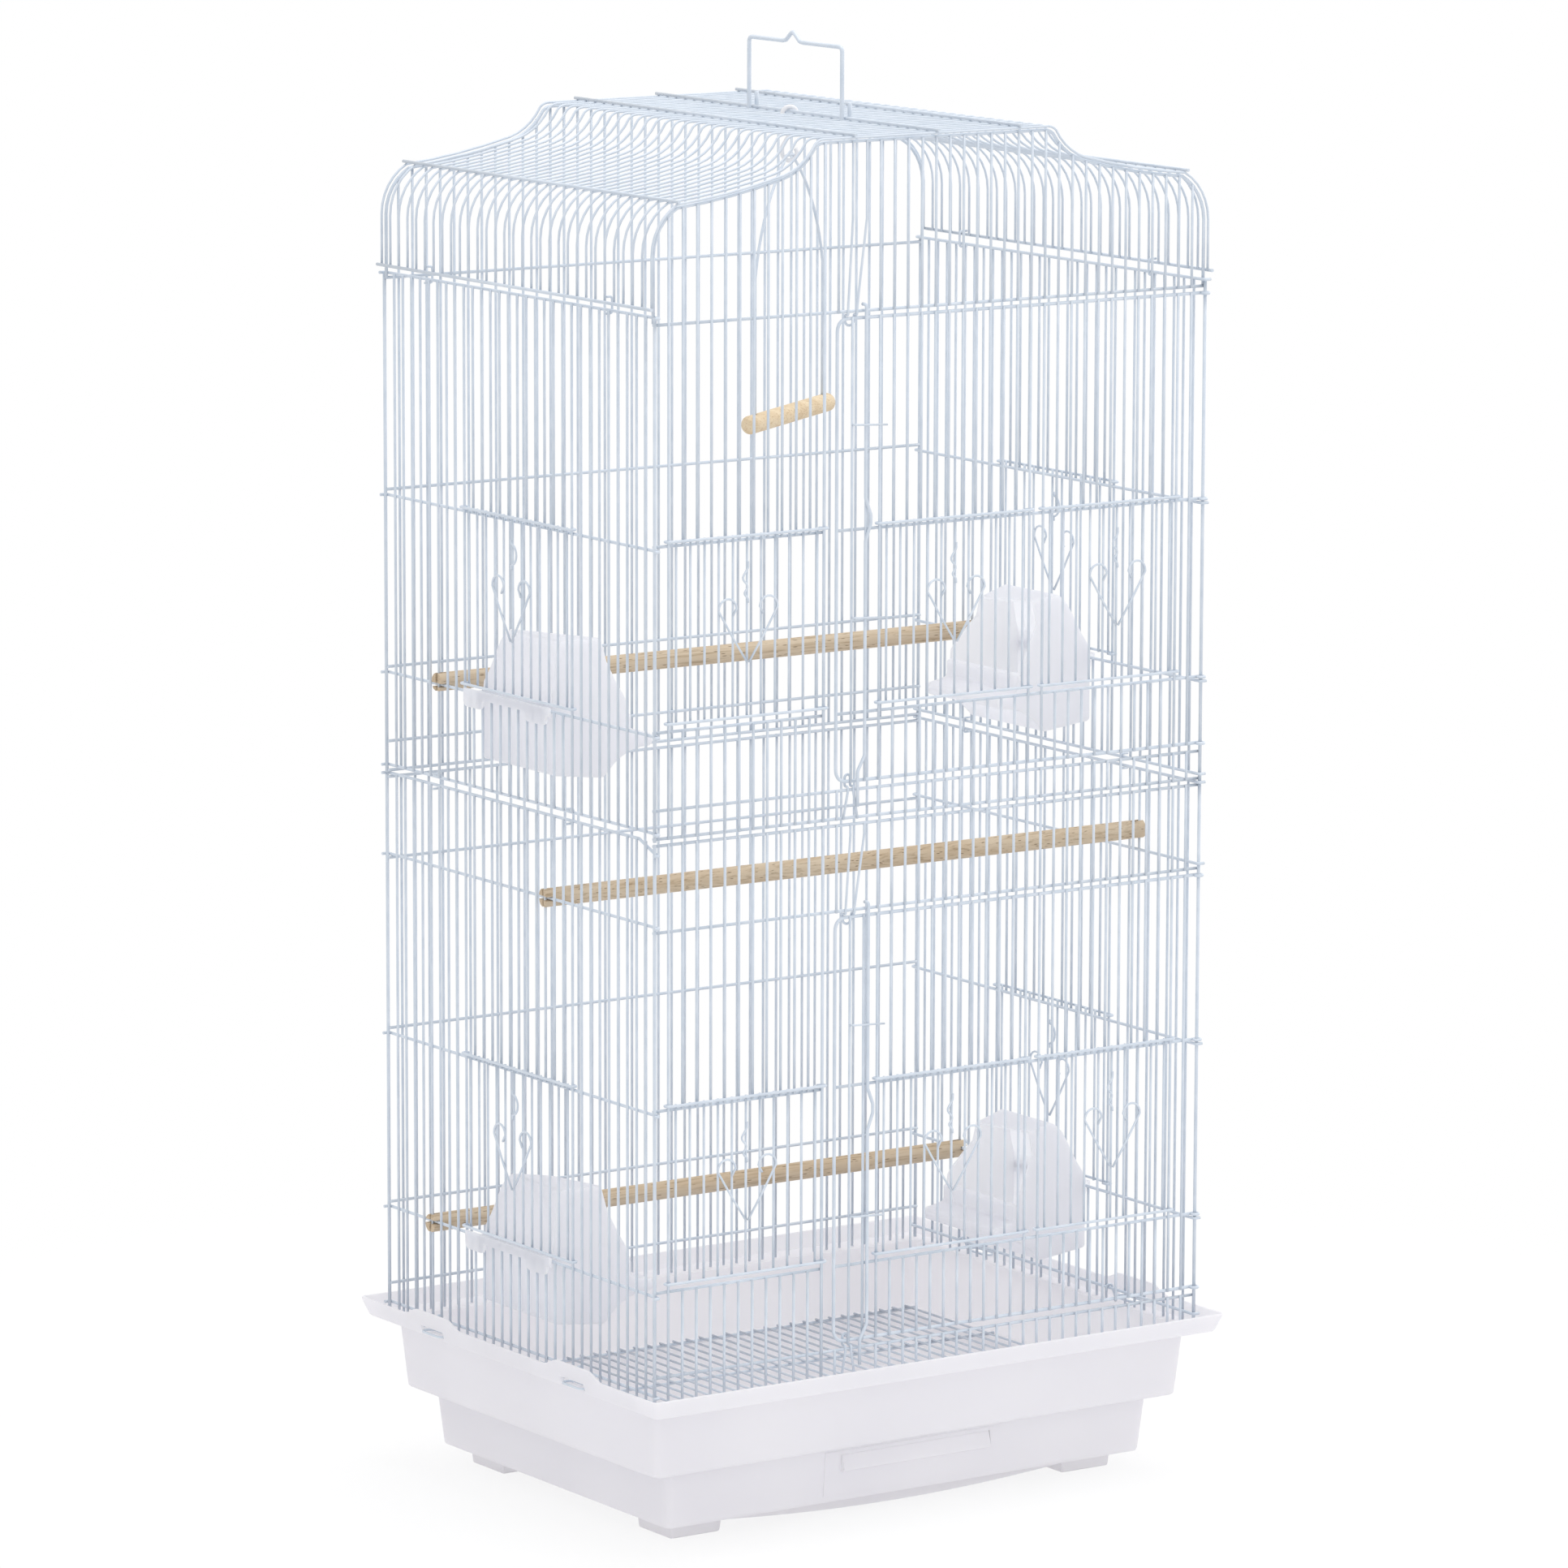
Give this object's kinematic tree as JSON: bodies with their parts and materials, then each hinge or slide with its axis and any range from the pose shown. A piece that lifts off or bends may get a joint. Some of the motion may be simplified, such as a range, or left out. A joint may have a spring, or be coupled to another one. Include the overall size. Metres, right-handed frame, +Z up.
{
  "type": "bird cage",
  "caption": "Tall two-tier wire bird cage with a flared wire roof, lift-up feeder doors, swing, perches and a stepped plastic base tray.",
  "frame": {"origin": "centre of the footprint, on the floor under the base's feet", "axes": "+Z up, -Y is the front with the large doors, +X to the right seen from the front"},
  "size_m": [0.4654, 0.37, 0.983],
  "materials": {
    "wire": "pale blue-white powder-coated steel wire, semi-gloss",
    "plastic": "white injection-moulded polypropylene, fine satin",
    "feeder_plastic": "milky translucent polypropylene",
    "wood": "sanded raw beech dowel",
    "hook": "white moulded nylon"
  },
  "bodies": {
    "cage": {"base_pan": "plastic", "floor_grate": "wire", "lower_front_panel": "wire", "lower_back_panel": "wire", "lower_left_panel": "wire", "lower_right_panel": "wire", "upper_front_panel": "wire", "upper_back_panel": "wire", "upper_left_panel": "wire", "upper_right_panel": "wire", "roof_skin": "wire", "roof_hooks": "wire", "tier_hooks": "wire", "upper_perch": "wood", "middle_perch": "wood", "lower_perch": "wood", "upper_left_feeder": "feeder_plastic", "upper_right_feeder": "feeder_plastic", "lower_left_feeder": "feeder_plastic", "lower_right_feeder": "feeder_plastic"},
    "lower_door_body": {"lower_door": "wire"},
    "lower_latch_body": {"lower_latch": "wire"},
    "lower_left_hatch_body": {"lower_left_hatch": "wire"},
    "lower_mid_hatch_body": {"lower_mid_hatch": "wire"},
    "lower_right_hatch_body": {"lower_right_hatch": "wire"},
    "lower_left_side_hatch_body": {"lower_left_side_hatch": "wire"},
    "lower_right_side_hatch_body": {"lower_right_side_hatch": "wire"},
    "upper_door_body": {"upper_door": "wire"},
    "upper_latch_body": {"upper_latch": "wire"},
    "upper_left_hatch_body": {"upper_left_hatch": "wire"},
    "upper_mid_hatch_body": {"upper_mid_hatch": "wire"},
    "upper_right_hatch_body": {"upper_right_hatch": "wire"},
    "upper_left_side_hatch_body": {"upper_left_side_hatch": "wire"},
    "upper_right_side_hatch_body": {"upper_right_side_hatch": "wire"},
    "left_back_clip_body": {"left_back_clip": "wire"},
    "left_front_clip_body": {"left_front_clip": "wire"},
    "right_back_clip_body": {"right_back_clip": "wire"},
    "right_front_clip_body": {"right_front_clip": "wire"},
    "swing_hook_body": {"swing_hook": "hook"},
    "swing": {"swing_frame": "wire", "swing_perch": "wood"},
    "handle": {"carry_handle": "wire"}
  },
  "joints": [
    {"name": "lower_door_hinge", "type": "hinge", "parent": "cage", "child": "lower_door_body", "pos_m": [0.22, -0.1654, 0.27], "axis": [0, 0, 1], "range_deg": [0, 180]},
    {"name": "lower_latch_lift", "type": "slide", "parent": "lower_door_body", "child": "lower_latch_body", "axis": [0, 0, 1], "range_m": [0, 0.014]},
    {"name": "lower_left_hatch_lift", "type": "slide", "parent": "cage", "child": "lower_left_hatch_body", "axis": [0, 0, 1], "range_m": [0, 0.106]},
    {"name": "lower_mid_hatch_lift", "type": "slide", "parent": "lower_door_body", "child": "lower_mid_hatch_body", "axis": [0, 0, 1], "range_m": [0, 0.106]},
    {"name": "lower_right_hatch_lift", "type": "slide", "parent": "lower_door_body", "child": "lower_right_hatch_body", "axis": [0, 0, 1], "range_m": [0, 0.106]},
    {"name": "lower_left_side_hatch_lift", "type": "slide", "parent": "cage", "child": "lower_left_side_hatch_body", "axis": [0, 0, 1], "range_m": [0, 0.106]},
    {"name": "lower_right_side_hatch_lift", "type": "slide", "parent": "cage", "child": "lower_right_side_hatch_body", "axis": [0, 0, 1], "range_m": [0, 0.106]},
    {"name": "upper_door_hinge", "type": "hinge", "parent": "cage", "child": "upper_door_body", "pos_m": [0.22, -0.1654, 0.66], "axis": [0, 0, 1], "range_deg": [0, 180]},
    {"name": "upper_latch_lift", "type": "slide", "parent": "upper_door_body", "child": "upper_latch_body", "axis": [0, 0, 1], "range_m": [0, 0.014]},
    {"name": "upper_left_hatch_lift", "type": "slide", "parent": "cage", "child": "upper_left_hatch_body", "axis": [0, 0, 1], "range_m": [0, 0.111]},
    {"name": "upper_mid_hatch_lift", "type": "slide", "parent": "upper_door_body", "child": "upper_mid_hatch_body", "axis": [0, 0, 1], "range_m": [0, 0.111]},
    {"name": "upper_right_hatch_lift", "type": "slide", "parent": "upper_door_body", "child": "upper_right_hatch_body", "axis": [0, 0, 1], "range_m": [0, 0.111]},
    {"name": "upper_left_side_hatch_lift", "type": "slide", "parent": "cage", "child": "upper_left_side_hatch_body", "axis": [0, 0, 1], "range_m": [0, 0.111]},
    {"name": "upper_right_side_hatch_lift", "type": "slide", "parent": "cage", "child": "upper_right_side_hatch_body", "axis": [0, 0, 1], "range_m": [0, 0.111]},
    {"name": "left_back_clip_pivot", "type": "hinge", "parent": "cage", "child": "left_back_clip_body", "pos_m": [-0.2176, 0.1045, 0.11], "axis": [0, 1, 0], "range_deg": [-1.5, 9]},
    {"name": "left_front_clip_pivot", "type": "hinge", "parent": "cage", "child": "left_front_clip_body", "pos_m": [-0.2176, -0.0715, 0.11], "axis": [0, 1, 0], "range_deg": [-1.5, 9]},
    {"name": "right_back_clip_pivot", "type": "hinge", "parent": "cage", "child": "right_back_clip_body", "pos_m": [0.2176, 0.1045, 0.11], "axis": [0, -1, 0], "range_deg": [-1.5, 9]},
    {"name": "right_front_clip_pivot", "type": "hinge", "parent": "cage", "child": "right_front_clip_body", "pos_m": [0.2176, -0.0715, 0.11], "axis": [0, -1, 0], "range_deg": [-1.5, 9]},
    {"name": "swing_hook_tilt", "type": "hinge", "parent": "cage", "child": "swing_hook_body", "pos_m": [0, 0.0055, 0.9286], "axis": [0, 1, 0], "range_deg": [-12, 12]},
    {"name": "swing_pivot", "type": "hinge", "parent": "swing_hook_body", "child": "swing", "pos_m": [0, 0.0055, 0.899], "axis": [0.832, 0.5548, 0], "range_deg": [-35, 35]},
    {"name": "handle_fold", "type": "hinge", "parent": "cage", "child": "handle", "pos_m": [0, -0.0055, 0.9286], "axis": [0, 1, 0], "range_deg": [-84, 84]}
  ]
}
